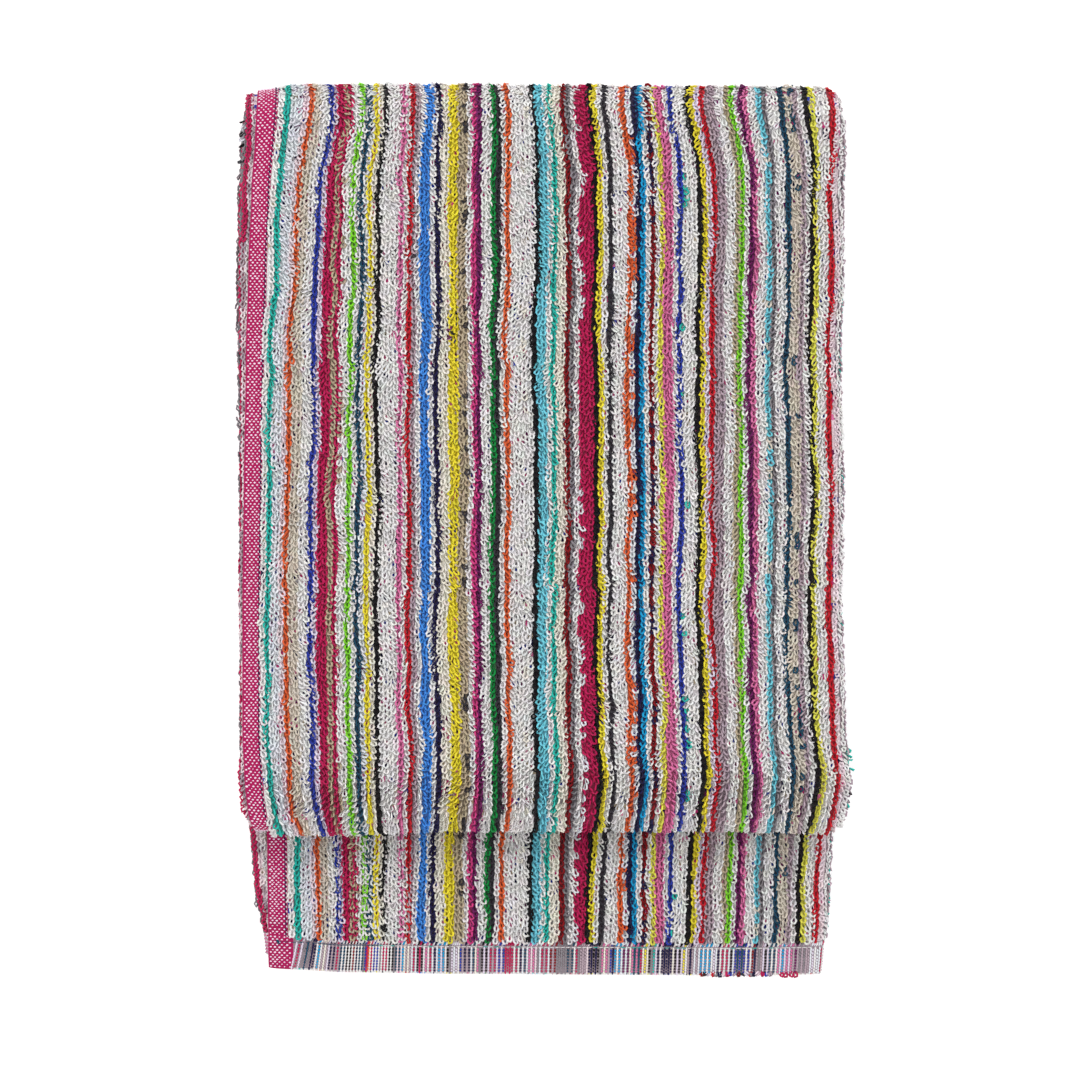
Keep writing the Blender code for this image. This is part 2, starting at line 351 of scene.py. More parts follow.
# The selvage's dots, and one repeat of the broken line beside them
DOT_PITCH_U = 1.72
DOT_PITCH_V = 1.06
FIRST_DOT_U = 0.65
DOT_COLUMNS = 4
DOT_LENGTH = 0.84
DOT_RADIUS = 0.36
DOT_SCATTER = 0.12
DOT_SHIFT = (0.08, 0.07)
DOTS_UNDER = 4.0
STITCHES = (Float(6.3, 0.0, 0.35, 1.25, 0.32, "navy"), Float(6.65, 1.05, 0.2, 0.8, 0.26, "cool"))
STITCH_RISE = 0.15

# The hem: narrow ribs of yarn along V, and between them ribs broken into coloured dashes
HEM_START_U = 8.6
RIB_INSET = 1.5
RIB_PITCH = 0.9
RIB_RADIUS = 0.44
RIB_LENGTH = 1.3
DASH_LENGTH = 0.84
DASH_PITCH = 1.3
DASH_SCATTER = 0.05
RIB_GAP = 0.3
RIB_RUN = 2
TURNED_RIB = Float(0.45, -1.3, -0.8, 1.8, RIB_RADIUS, "white")
HEM_SLANT = 0.16
HEM_SLANT_REACH = 90.0
RIB_MIX = """
    white 13, cool 5, lilac 4, blush 3, ivory 3, mauve 4, grey 4, navy 2, magenta 3, petrol 2
"""
DASH_MIX = """
    magenta 9, maroon 4, black 8, navy 7, royal 4, grey 3, teal 2, petrol 6, pink 3, mauve 2, purple 4,
    yellow 2, cerulean 2, orange, lilac
"""
LAST_RIBS = ("cool", "white", "cool", "white", "blush", "mauve")
LAST_DASHES = ("lilac", "cool", "magenta", "mauve", "lilac", "mauve")
LEFT_RIBS = ("mauve", "pink", "lilac", "fuchsia")
RIGHT_RIBS = ("white", "magenta", "cool", "navy", "blush", "teal")
FOLD_RIB_LENGTH = 0.8
FOLD_RIB_RADIUS = 0.42

# The hem's sewing: dark at its start, then white with a little teal
SEWING_DOWN = 2.4
SEWING_START_U = 4.0
SEWING_END_U = PANEL - 1.0
SEWING_PITCH = 2.3
SEWING_LENGTH = 1.9
SEWING_RADIUS = 0.17
SEWING_RISE = 0.25
DARK_SEWING_U = 52.0
WHITE_SHARE = 0.85
KNOT = [Float(u, v, 1.3, 0.5, 0.34, "petrol") for u, v in ((3.4, -0.4), (3.6, 0.1), (3.8, 0.6))]

# Materials
COTTON_LOOKS = {"Roughness": 0.95, "Specular IOR Level": 0.15, "Sheen Weight": 0.05, "Sheen Roughness": 0.6}
FIBRE_SCALE = 2600.0
FIBRE_DETAIL = 2.0
FIBRE_SHADES = (0.86, 1.12)
RAMP_STEPS = 32
# Painted shade on the ground between the loops: this dark is mixed into the stripes, by a smaller share for
# pale yarns
GROUND_PAINTED_SHADE = (0.09, 0.06, 0.08, 1)
GROUND_SHADE_SHARE = 0.45
PALE_LIFT = 0.38
SPECKS = ("purple", "royal", "fuchsia", "grey", "mauve", "navy", "pink", "taupe")
SPECK_SHARE = 0.34
SPECK_SHUFFLE = 17.0
BORDER_SHADE = 0.78
BORDER_DARK = 0.7
BORDER_RIB = (0.12, 0.14)
# Mauve ground under the visible hem's ribs, darkened as painted shade between them
HEM_GROUND_PAINTED_SHADE = 0.7
HEM_WHITE = 0.8
HEM_RIM = 0.4
WEAVE_U = 0.95
WEAVE_V = 1.05
WEAVE_RELIEF = 0.0002
WEAVE_STRENGTH = 0.6
LOOP_RELIEF = 4.0
PAINTED_RADIUS = 0.28
PAINTED_LENGTH = 0.8
PAINTED_SHARPNESS = 4.0

# Floor, camera and lights, in metres
FLOOR_REACH = 6.0
PALE_LOOKS = {
    "Base Color": (0.93, 0.93, 0.93, 1),
    "Roughness": 1.0,
    "Specular IOR Level": 0.0,
    "Emission Color": (1, 1, 1, 1),
    "Emission Strength": 0.3,
}
CAMERA_DISTANCE = 5.0
FRAME_WIDTH = 0.432
FRAME_CENTRE = (-0.0008, -0.0034)
SENSOR = 36.0
WORLD_STRENGTH = 1.12
LAMPS = rows_of(
    "name size power place",
    ("key", 0.6, 8.0, (-0.6, 1.1, 1.3)),
    ("fill", 1.6, 3.0, (1.2, -0.8, 1.6)),
)


def smooth(value):
    """A soft step from 0 to 1 as value goes from 0 to 1."""
    value = np.clip(value, 0.0, 1.0)
    return value * value * (3 - 2 * value)


def mix(start, end, part):
    return start + (end - start) * part


def fade(value, ends):
    """A soft step from 0 at the first end to 1 at the second."""
    start, full = ends
    return smooth((value - start) / (full - start))


def look_up(table, key, name):
    """A named column of a table at each key, with soft passages from row to row."""
    rows = sorted(table, key=lambda row: row[0])
    keys = np.array([row[0] for row in rows])
    values = np.array([getattr(row, name) for row in rows])
    key = np.asarray(key, dtype=float)
    low = np.clip(np.searchsorted(keys, key) - 1, 0, len(keys) - 2)
    part = smooth((key - keys[low]) / (keys[low + 1] - keys[low]))
    return mix(values[low], values[low + 1], part)


def in_turn(mixture):
    """Every colour of a text such as "white 2, teal", as often as its number says, or once."""
    rows = (stripe.split() + ["1"] for stripe in mixture.split(","))
    return [row[0] for row in rows for _ in range(int(row[1]))]


# The folding path

Path = namedtuple("Path", "y z normal_y normal_z selvage left right pitch")


def run(table, slab, facing, start, end, hem_y):
    """One run of the slab: facing is 1 where the selvage is on top and -1 where it is below."""
    y = np.linspace(start, end, round(abs(end - start) / RUN_STEP) + 1)
    inside = y - hem_y - HEM
    settled = mix(SEAM_PITCH, LAYER_PITCH, smooth(inside / SETTLE))
    pitch = np.where(inside > 0, settled, mix(HEM_PITCH, SEAM_PITCH, (y - hem_y) / HEM))
    thickness = 2 * pitch + np.where(inside < STEP / 2, WOVEN, TERRY)
    z = thickness / 2 + slab * (thickness + SLAB_GAP)
    if slab == 1:
        z = z - HEM_DROOP * smooth(1 - (y - hem_y) / DROOP_REACH)
    edges = [look_up(table, y, name) for name in ("selvage", "left", "right")]
    return Path(y, z, np.zeros_like(y), np.full_like(y, facing), *edges, pitch)


def row_at(path, number):
    return Path(*(values[number] for values in path))


def bend(before, after, side, outside, pinch, steps):
    """The path between two runs, round a half circle that bulges to side along Y."""
    before, after = row_at(before, -1), row_at(after, 0)
    part = np.linspace(0, 1, steps + 1)[1:-1]
    turn = np.pi * part
    radius = (before.z - after.z) / 2
    y = before.y + side * abs(radius) * np.sin(turn)
    z = (before.z + after.z) / 2 + radius * np.cos(turn)
    normal_y = outside * side * np.sin(turn)
    normal_z = before.normal_z * np.cos(turn)
    drawn = np.sin(turn)
    selvage = mix(before.selvage, after.selvage, smooth(part)) + pinch.left * drawn
    left = mix(before.left, after.left, smooth(part)) + pinch.left * drawn
    right = mix(before.right, after.right, smooth(part)) - pinch.right * drawn
    return Path(y, z, normal_y, normal_z, selvage, left, right, np.full_like(y, LAYER_PITCH))


def towel_path():
    """The whole path, and V where each of its seven stretches starts and the last one ends."""
    back_under = run(BACK_UNDER, 0, -1, UNDER_HEM_EDGE, WRAP_Y, UNDER_HEM_EDGE)
    flap_top = run(FLAP_TOP, 3, 1, WRAP_Y, FOLD_Y, HEM_EDGE)
    flap_under = run(FLAP_UNDER, 2, -1, FOLD_Y, WRAP_Y, HEM_EDGE)
    back_top = run(BACK_TOP, 1, 1, WRAP_Y, HEM_EDGE, HEM_EDGE)
    stretches = (
        back_under,
        bend(back_under, flap_top, 1, 1, TOP_PINCH, WRAP_STEPS),
        flap_top,
        bend(flap_top, flap_under, -1, 1, FLAP_PINCH, TURN_STEPS),
        flap_under,
        bend(flap_under, back_top, 1, -1, TOP_PINCH, TURN_STEPS),
        back_top,
    )
    path = Path(*(np.concatenate(values) for values in zip(*stretches)))
    outer_y = path.y + path.pitch * path.normal_y
    outer_z = path.z + path.pitch * path.normal_z
    v = np.concatenate([[0.0], np.cumsum(np.hypot(np.diff(outer_y), np.diff(outer_z)))])
    ends = np.cumsum([len(stretch.y) for stretch in stretches])
    starts = [0] + [int(end) for end in ends[:-1]] + [int(ends[-1]) - 1]
    return path, v, [float(v[start]) for start in starts]


PATH, PATH_V, STRETCH_V = towel_path()
WRAP_V, FLAP_V, FOLD_V, UNDER_V, INNER_WRAP_V, BACK_V, END_V = STRETCH_V[1:]

# Places on the path: where its loops start and end, and its sewing
BARE_V = WRAP_V - BARE_BELOW
STRIP_V = END_V - STRIP_SHOWN
PILE_END_V = END_V - HEM - STEP
SEWING_V = END_V - HEM + SEWING_DOWN

# Where the cloth has rolled round the left fold by one yarn more
Roll = namedtuple("Roll", "u start end")
LEFT_ROLL = Roll(LEFT_FOLD_U - 4.0, FLAP_V + 45.0, UNDER_V)

# Loops that stand out of the pile here and there: pulled ones, and those that stick out past an edge
STRAYS = rows_of(
    "u v colour lift",
    *((RIGHT_TURN_U, FOLD_V + on, colour, lift) for on, colour, lift in (
        (-27.0, "charcoal", 30), (-24.4, "teal", 50), (-22.0, "teal", 70), (-19.8, "teal", 80),
        (-16.6, "teal", 62), (-8.0, "black", 48), (-5.6, "black", 40), (-3.4, "teal", 55))),
    *((LEFT_TURN_U, FLAP_V + on, colour, lift) for on, colour, lift in (
        (-5.0, "black", 60), (-2.6, "cool", 60), (0.4, "black", 50), (3.0, "cool", 60),
        (5.4, "black", 50), (12.0, "charcoal", 64))),
    (84, FLAP_V + 81, "purple", 60),
    (85.4, FLAP_V + 82.6, "black", 66),
    (83.4, FLAP_V + 84.4, "purple", 58),
    (69, FLAP_V + 52, "charcoal", 62),
)

# Where ribs of the two hems come round the side folds
FOLD_RIBS = rows_of(
    "u end_u v end_v colours",
    (LEFT_FOLD_U - 5.0, INNER_U, SEWING_V - HEM / 6, END_V - RIB_GAP, LEFT_RIBS),
    (LEFT_FOLD_U - 5.0, INNER_U, 0.4, HEM - 0.6, LEFT_RIBS),
    (RIGHT_FOLD_U, BOTTOM_U, 0.4, HEM - 0.6, RIGHT_RIBS),
)


# The cloth, folded

def across(u, row):
    """X, and the height from the slab's middle, at U in these rows of the path."""
    right_centre = row.right - row.pitch - TERRY / 2
    left_centre = row.left + row.pitch / 2 + TERRY / 2
    part = u / PANEL
    gain = SWING_GAIN * smooth((u - SELVAGE / 3) / SWING_CREST)
    swing = smooth(1 - (u - SWING_CREST) / SWING_REACH) * (1 + gain)
    top = mix(STRAIGHT_SELVAGE, right_centre, part) + (row.selvage - STRAIGHT_SELVAGE) * swing
    right_turn = np.pi * (u - RIGHT_FOLD_U) / (BOTTOM_U - RIGHT_FOLD_U)
    left_turn = np.pi * (u - LEFT_FOLD_U) / (INNER_U - LEFT_FOLD_U)
    panels = [u <= RIGHT_FOLD_U, u <= BOTTOM_U, u <= LEFT_FOLD_U, u <= INNER_U]
    x = np.select(panels, [
        top,
        right_centre + row.pitch * np.sin(right_turn),
        mix(right_centre, left_centre, (u - BOTTOM_U) / PANEL),
        left_centre - row.pitch / 2 * np.sin(left_turn),
    ], mix(left_centre, INNER_EDGE, (u - INNER_U) / (END_U - INNER_U)))
    height = np.select(panels, [
        row.pitch,
        row.pitch * np.cos(right_turn),
        -row.pitch,
        -row.pitch * (1 + np.cos(left_turn)) / 2,
    ], 0.0)
    return x, height


def corner_drop(corners, x):
    """How far a cross line falls back in its rounded corner at X."""
    left, right = corners
    side, radius, skip = (np.where(x < 0, a, b) for a, b in zip(left, right))
    short = np.maximum(radius - np.maximum(np.abs(side) - np.abs(x), 0.0) - skip, 0.0)
    return radius - np.sqrt(radius ** 2 - short ** 2)


def shift(x, y):
    """How far the cross lines carry this place along Y."""
    top = look_up(CROSS_LINES, x, "top") - corner_drop(TOP_CORNERS, x)
    flap = look_up(CROSS_LINES, x, "flap") + corner_drop(FLAP_CORNERS, x)
    hem = look_up(CROSS_LINES, x, "hem") + corner_drop(HEM_CORNERS, x)
    near_flap = fade(y, FLAP_FADE_FROM_HEM) * fade(y, FLAP_FADE_FROM_TOP)
    return top * fade(y, TOP_FADE) + flap * near_flap + hem * fade(y, HEM_FADE)


def loft(x, y):
    """What the stack's heights are multiplied by at this place."""
    side = SIDE_SINK * (x / SIDE_X) ** SIDE_SHARPNESS
    across_hollow = (x - HOLLOW_CENTRE[0]) / HOLLOW_REACH[0]
    along_hollow = (y - HOLLOW_CENTRE[1]) / HOLLOW_REACH[1]
    return 1 - side - HOLLOW_DEPTH * np.exp(-(across_hollow ** 2) - along_hollow ** 2)


def sway(u, v):
    """How far the stripe at this place has moved across the cloth."""
    past_top = FLAP_V - SWAY_TOP / 2
    near_top = fade(v, (FLAP_V + SWAY_TOP, past_top)) * fade(v, (WRAP_V, past_top))
    near_fold = fade(v, (FOLD_V - SWAY_FOLD, UNDER_V)) * (v <= UNDER_V)
    return look_up(SWAYS, u, "top") * near_top + look_up(SWAYS, u, "fold") * near_fold


def left_rise(u, v):
    """How far the left fold stands out round the wrap."""
    near_fold = smooth(1 - np.abs(u - LEFT_TURN_U) / LEFT_RISE_REACH)
    before = fade(v, (WRAP_V, WRAP_V + LEFT_RISE_FADE))
    after = fade(v, (FLAP_V + LEFT_RISE_FADE, FLAP_V - LEFT_RISE_FADE))
    return LEFT_RISE * near_fold * (before * after)


def folded(u, v):
    """X, Y and Z of the cloth's middle at each U and V, before it is centred."""
    u, v = np.broadcast_arrays(np.asarray(u, float), np.asarray(v, float))
    row = Path(*(np.interp(v, PATH_V, values) for values in PATH))
    x, height = across(np.where(u < PANEL, u + sway(u, v), u), row)
    height = height + left_rise(u, v)
    y = row.y + height * row.normal_y
    z = row.z + height * row.normal_z
    lowest = TERRY / 2
    return np.stack([x, y + shift(x, y), lowest + (z - lowest) * loft(x, y)], axis=-1)


def outline_middle():
    """The middle of the folded cloth's outline, which becomes the origin."""
    columns, rows = OUTLINE_POINTS
    points = folded(*np.meshgrid(np.linspace(0, END_U, columns), np.linspace(0, END_V, rows)))
    low, high = points[..., :2].min((0, 1)), points[..., :2].max((0, 1))
    return np.append((low + high) / 2, 0.0)


MIDDLE = outline_middle()


def unit(vectors):
    return vectors / np.maximum(np.linalg.norm(vectors, axis=-1, keepdims=True), 1e-9)


def cloth_at(u, v):
    """The cloth's middle at each U and V, and its directions along U, along V and outward."""
    point = folded(u, v) - MIDDLE
    along_u = unit(folded(np.minimum(u + NUDGE, END_U), v) - folded(np.maximum(u - NUDGE, 0), v))
    along_v = unit(folded(u, np.minimum(v + NUDGE, END_V)) - folded(u, np.maximum(v - NUDGE, 0)))
    normal = unit(np.cross(along_v, along_u))
    return point, along_u, np.cross(along_u, normal), normal


# Colours

def linear(*names):
    """The named colours as rows of linear RGB."""
    share = np.array([COLOURS[name] for name in names]) / 255
    return np.where(share <= 0.04045, share / 12.92, ((share + 0.055) / 1.055) ** 2.4)


YARN_COLOURS = linear(*in_turn(CHART))


def yarn_number(u):
    """The chart's yarn at each U. Each panel mirrors the one before it."""
    half = LEFT_FOLD_U / 2
    mirrored = half - np.abs(np.mod(u, 2 * half) - half)
    return np.clip(np.round((mirrored - MARGIN_YARN_U) / YARN_PITCH), 0, len(YARN_COLOURS) - 1).astype(int)


# Objects and meshes

def placed(name, data, location=(0, 0, 0)):
    """A new object of this data in the scene."""
    thing = bpy.data.objects.new(name, data)
    thing.location = location
    bpy.context.scene.collection.objects.link(thing)
    return thing


def pressed(points):
    """The points, with what would sink into the surface pressed down on it."""
    z = points[..., 2:]
    flat = PRESS_BELOW * np.exp((np.minimum(z, PRESS_BELOW) - PRESS_BELOW) / PRESS_BELOW)
    return np.concatenate([points[..., :2], np.where(z < PRESS_BELOW, flat, z)], axis=-1)


def mesh_object(name, vertices, quads, colours=None):
    """A mesh of these vertices, in millimetres, and quads, with a colour for each vertex."""
    mesh = bpy.data.meshes.new(name)
    mesh.vertices.add(len(vertices))
    mesh.vertices.foreach_set("co", (vertices * MM).ravel())
    mesh.loops.add(quads.size)
    mesh.loops.foreach_set("vertex_index", quads.ravel())
    mesh.polygons.add(len(quads))
    mesh.polygons.foreach_set("loop_start", np.arange(0, quads.size, 4))
    mesh.polygons.foreach_set("use_smooth", np.full(len(quads), True))
    mesh.update(calc_edges=True)
    if colours is not None:
        attribute = mesh.color_attributes.new("Yarn", "FLOAT_COLOR", "POINT")
        attribute.data.foreach_set("color", np.column_stack([colours, np.ones(len(colours))]).ravel())
    return placed(name, mesh)


def add_uv(thing, corners):
    """Lays the UV map named OFBake, which the ground material reads."""
    layer = thing.data.uv_layers.new(name="OFBake")
    layer.uv.foreach_set("vector", corners.ravel())


# The ground sheet under the loops

def ground_columns():
    """U of every column of the ground sheet, from the visible selvage to the hidden one."""
    columns = list(SELVAGE_COLUMNS)
    for stretch in GROUND_STRETCHES:
        columns += list(np.linspace(columns[-1], stretch.end, stretch.steps + 1)[1:])
    return np.array(columns)


def ground_rows():
    """V of every row of the ground sheet."""
    rows = list(HEM_ROWS)
    stops = (WRAP_V, FLAP_V, FOLD_V, UNDER_V, INNER_WRAP_V, BACK_V, PILE_END_V)
    steps = (HIDDEN_ROW, WRAP_ROW, FLAT_ROW, TURN_ROW, HIDDEN_ROW, TURN_ROW, FLAT_ROW)
    for end, step in zip(stops, steps):
        start = rows[-1]
        rows += list(np.linspace(start, end, math.ceil((end - start) / step) + 1)[1:])
    return np.array(rows + [END_V - row for row in HEM_ROWS[-2::-1]])


def ground_sheet():
    """One closed sheet on the folding path, thinner where it is woven flat."""
    columns, rows = ground_columns(), ground_rows()
    u, v = np.meshgrid(columns, rows)
    point, along_u, along_v, normal = cloth_at(u, v)
    woven = (u <= SELVAGE) | (v <= HEM) | (v >= END_V - HEM)
    pile_face = mix(GROUND_FACE, GROUND_UNDER, fade(v, (BARE_V, BARE_V - UNDER_FADE)))
    face = np.where(woven, GROUND_WOVEN, pile_face)[..., None]
    back = np.where(woven, GROUND_WOVEN, GROUND_BACK)[..., None]
    outward = unit(along_u * np.sign(u - END_U / 2)[..., None] * ((u == 0) | (u == END_U))[..., None]
                   + along_v * np.sign(v - END_V / 2)[..., None] * ((v == 0) | (v == END_V))[..., None])
    edge = point + normal * (face - back) / 2 + outward * RIM_BULGE
    index = np.arange(u.size).reshape(u.shape)
    cells = np.stack([index[:-1, :-1], index[1:, :-1], index[1:, 1:], index[:-1, 1:]], -1).reshape(-1, 4)
    rim = np.concatenate([index[0, :-1], index[:-1, -1], index[-1, :0:-1], index[:0:-1, 0]])
    crest = np.arange(len(rim)) + 2 * u.size
    next_rim, next_crest = np.roll(rim, -1), np.roll(crest, -1)
    upper = np.stack([rim, next_rim, next_crest, crest], -1)
    lower = np.stack([crest, next_crest, next_rim + u.size, rim + u.size], -1)
    quads = np.concatenate([cells, cells[:, ::-1] + u.size, upper, lower])
    faces = [(point + normal * face).reshape(-1, 3), (point - normal * back).reshape(-1, 3)]
    sheet = mesh_object("ground_sheet", np.concatenate(faces + [edge.reshape(-1, 3)[rim]]), quads)
    place = np.stack([u / END_U, v / END_V], -1).reshape(-1, 2)
    add_uv(sheet, np.concatenate([place, place, place[rim]])[quads.ravel()])
    return sheet


# The terry loops

def noise_field(random, u, v, swell):
    """Soft noise over the cloth, of the swell's size and lengths."""
    shape = (math.ceil(END_V / swell.v_reach) + 2, math.ceil(END_U / swell.u_reach) + 2)
    table = random.uniform(-1, 1, shape)
    column, row = u / swell.u_reach, v / swell.v_reach
    low_column, low_row = np.floor(column).astype(int), np.floor(row).astype(int)
    part_u, part_v = smooth(column - low_column), smooth(row - low_row)
    above = mix(table[low_row, low_column], table[low_row, low_column + 1], part_u)
    below = mix(table[low_row + 1, low_column], table[low_row + 1, low_column + 1], part_u)
    return swell.size * mix(above, below, part_v)


def loop_grid(columns, start, end):
    """U and V of every loop of these yarns between two V. Every other yarn is half a loop late."""
    rows = np.arange(math.ceil(start / LOOP_PITCH), math.floor(end / LOOP_PITCH) + 1)
    column, row = np.meshgrid(columns, rows)
    u = FIRST_YARN_U + column * YARN_PITCH
    return u.ravel(), ((row + 0.5 * (column % 2)) * LOOP_PITCH).ravel()


def loop_line(segments):
    """A loop's centre line, up one leg and down the other: side and out as shares, and which leg."""
    half = [(None, 0.0)] + list(LOOP_SHAPES[segments])
    other = half[::-1] if segments % 2 else half[-2::-1]
    sign = [1] * len(half) + [-1] * len(other)
    return [(side, out, way) for (side, out), way in zip(half + other, sign)]


def loops(name, random, u, v, style, standing, colours):
    """One object of terry loops. Standing is 0 where they lie over and 1 on a turned edge."""
    point, along_u, along_v, normal = cloth_at(u, v)
    count = len(u)
    lean = noise_field(random, u, v, LEAN_SWELL) + noise_field(random, u, v, LEAN_RIPPLE)
    lean = np.radians(style.lean * lean + random.normal(0, LEAN_SCATTER, count))[:, None]
    lift = style.lift + STANDING_LIFT * standing + random.normal(0, LIFT_SCATTER, count)
    lift = np.radians(lift)[:, None]
    twist = random.normal(0, style.twist, count) + STANDING_TWIST * np.maximum(standing, 0)
    twist = np.radians(twist)[:, None]
    length = style.length * random.normal(1, SIZE_SCATTER, count)[:, None]
    width = style.width * random.normal(1, SIZE_SCATTER, count)[:, None]
    heading = along_v * np.cos(lean) + along_u * np.sin(lean)
    out = unit(heading * np.cos(lift) + normal * np.sin(lift))
    flat_side = unit(np.cross(normal, heading))
    face = unit(np.cross(out, flat_side))
    side = flat_side * np.cos(twist) + face * np.sin(twist)
    back = np.cross(out, side)
    foot = point + normal * (GROUND_FACE - FOOT_SUNK) - heading * FOOT_BACK * length
    wander = noise_field(random, u, v, WANDER_SWELL) + random.normal(0, WANDER_SCATTER, count)
    foot = foot + along_u * wander[:, None]
    line = loop_line(style.segments)
    centres = np.empty((count, len(line), 3))
    for place, (share, out_share, way) in enumerate(line):
        reach = FOOT_WIDTH / 2 if share is None else width / 2 * share
        sag = -SAG * out_share ** 2
        centres[:, place] = (foot + side * (way * reach) + out * (length * out_share)
                             + back * (sag * way) + normal * (ARCH * math.sin(math.pi * out_share)))
    tangent = unit(np.gradient(centres, axis=1))
    ring_a = np.broadcast_to(back[:, None], tangent.shape)
    ring_b = unit(np.cross(tangent, ring_a))
    angles = TUBE_TURN + np.arange(TUBE_SIDES) * 2 * np.pi / TUBE_SIDES
    rise, spread = np.maximum(np.sin(angles), -YARN_DEPTH)[:, None], np.cos(angles)[:, None]
    rings = centres[:, :, None] + YARN_RADIUS * (ring_a[:, :, None] * rise + ring_b[:, :, None] * spread)
    is_foot = np.array([share is None for share, _, _ in line])
    # Painted light on each tube's lower side, which lifts the dark of its sloping sides
    shades = loop_shades(random, colours, is_foot, np.where(rise[:, 0] < 0, UNDERSIDE_PAINTED_LIGHT, 1.0))
    return tube_object(name, rings, shades)


def loop_shades(random, colours, is_foot, painted_underside_light):
    """A colour for each vertex: uneven from loop to loop, with painted shade at the foot and painted light on
    the tube's lower side.
    """
    colours = colours * random.normal(1, SHADE_SCATTER, len(colours))[:, None]
    colours = np.clip(colours * random.normal(1, HUE_SCATTER, (len(colours), 3)), 0, 1)
    # Painted shade at each loop's foot, less for pale yarns
    painted_foot_shade = np.where(colours.mean(1) > PALE, PALE_FOOT_SHADE, DARK_FOOT_SHADE)
    along = np.where(is_foot, painted_foot_shade[:, None], 1.0)
    shades = colours[:, None, None, :] * along[:, :, None, None] * painted_underside_light[:, None]
    return np.clip(shades, 0, 1).reshape(-1, 3)


def tube_object(name, rings, colours):
    """One object from an array of tubes, their points, sides and coordinates."""
    tubes, points, sides, _ = rings.shape
    index = np.arange(tubes * points * sides).reshape(tubes, points, sides)
    turned = np.roll(index, -1, axis=2)
    quads = np.stack([index[:, :-1], index[:, 1:], turned[:, 1:], turned[:, :-1]], -1).reshape(-1, 4)
    thing = mesh_object(name, pressed(rings).reshape(-1, 3), quads, colours)
    across_cells = math.ceil(math.sqrt(tubes))
    cell = np.arange(tubes)
    corner = np.stack([cell % across_cells, cell // across_cells], -1)[:, None, None, None, :]
    step, turn = np.meshgrid(np.arange(points - 1), np.arange(sides), indexing="ij")
    ring_corner = np.array([(0, 0), (1, 0), (1, 1), (0, 1)])
    inside = np.stack([step, turn], -1)[:, :, None, :] + ring_corner
    inside = CELL_MARGIN + (1 - 2 * CELL_MARGIN) * inside / np.array([points - 1, sides])
    add_uv(thing, (corner + inside[None]) / across_cells)
    return thing


def pile_colours(random, u, v):
    """Each loop's colour: its yarn's own, or in places a marled yarn's second one."""
    rolled = (u > LEFT_ROLL.u) & (v > LEFT_ROLL.start) & (v < LEFT_ROLL.end)
    number = yarn_number(u + YARN_PITCH * rolled)
    colours = YARN_COLOURS[number]
    chance = MARL_MIDDLE + noise_field(random, u, v, MARL_SWELL) + random.normal(0, MARL_SCATTER, len(u))
    for marl in MARLS:
        second = (number == marl.yarn) & (chance < marl.share)
        colours[second] = linear(marl.second)[0]
    turn = np.round((u - FIRST_YARN_U) / YARN_PITCH).astype(int) - YARNS
    for place, name in enumerate(TURN_COLOURS):
        colours[turn == place] = linear(name)[0]
    return colours


def standing_at(v):
    """How far the loops stand up at each V, below 0 where they lie flat on the wrap's crest."""
    near_fold = fade(v, (FOLD_V - FOLD_STANDING[0], FOLD_V - FOLD_STANDING[1])) * (v < UNDER_V)
    near_wrap = fade(v, (FLAP_V + WRAP_FADE[0], FLAP_V - WRAP_FADE[1])) * (v > WRAP_V - WRAP_UNDER)
    off_crest = np.abs(v - (WRAP_V + FLAP_V) / 2)
    standing = np.maximum(near_fold, WRAP_STANDING * near_wrap)
    return standing - (WRAP_STANDING + CREST_FLAT) * smooth(CREST_WIDTH - off_crest / CREST_REACH)


def pile(random):
    """Every piece of the terry pile, wherever the cloth shows."""
    top = np.arange(YARNS)
    right = np.arange(YARNS, YARNS + len(TURN_COLOURS))
    first_left = round((LEFT_FOLD_U - FIRST_YARN_U) / YARN_PITCH) - 1
    left = np.arange(first_left, first_left + LEFT_YARNS)
    regions = (
        ("wrap", top, BARE_V, FLAP_V, FLAT_PILE),
        ("flap", top, FLAP_V, FOLD_V, FLAT_PILE),
        ("flap_fold", top, FOLD_V, UNDER_V, FLAT_PILE),
        ("strip", top, STRIP_V, PILE_END_V, STRIP_PILE),
        ("right_side", right, HEM + STEP, PILE_END_V, RIGHT_PILE),
        ("left_side", left, HEM + STEP, PILE_END_V, LEFT_PILE),
    )
    made = []
    for name, columns, start, end, style in regions:
        u, v = loop_grid(columns, start, end)
        pieces = math.ceil(len(u) / LOOPS_A_PIECE)
        shares = zip(np.array_split(u, pieces), np.array_split(v, pieces))
        for number, (some_u, some_v) in enumerate(shares, 1):
            colours = pile_colours(random, some_u, some_v)
            standing = standing_at(some_v)
            made.append(loops(f"pile_{name}_{number}", random, some_u, some_v, style, standing, colours))
    return made


def stray_loops(random):
    """The strays, each with its own lift."""
    u, v, colours, lift = zip(*STRAYS)
    style = STRAY_PILE._replace(lift=np.array(lift))
    return loops("stray_loops", random, np.array(u), np.array(v), style, np.zeros(len(u)), linear(*colours))


def end_loops(name, random, ends):
    """A row of loops that peep out below the hem."""
    u = np.arange(ends.start, ends.end, ends.pitch)
    colours = [ends.colours[number % len(ends.colours)] for number in range(len(u))]
    v = np.full(len(u), END_V - ends.inset)
    return loops(name, random, u, v, ends.style, np.zeros(len(u)), linear(*colours))


# Woven and sewn yarn on the flat borders

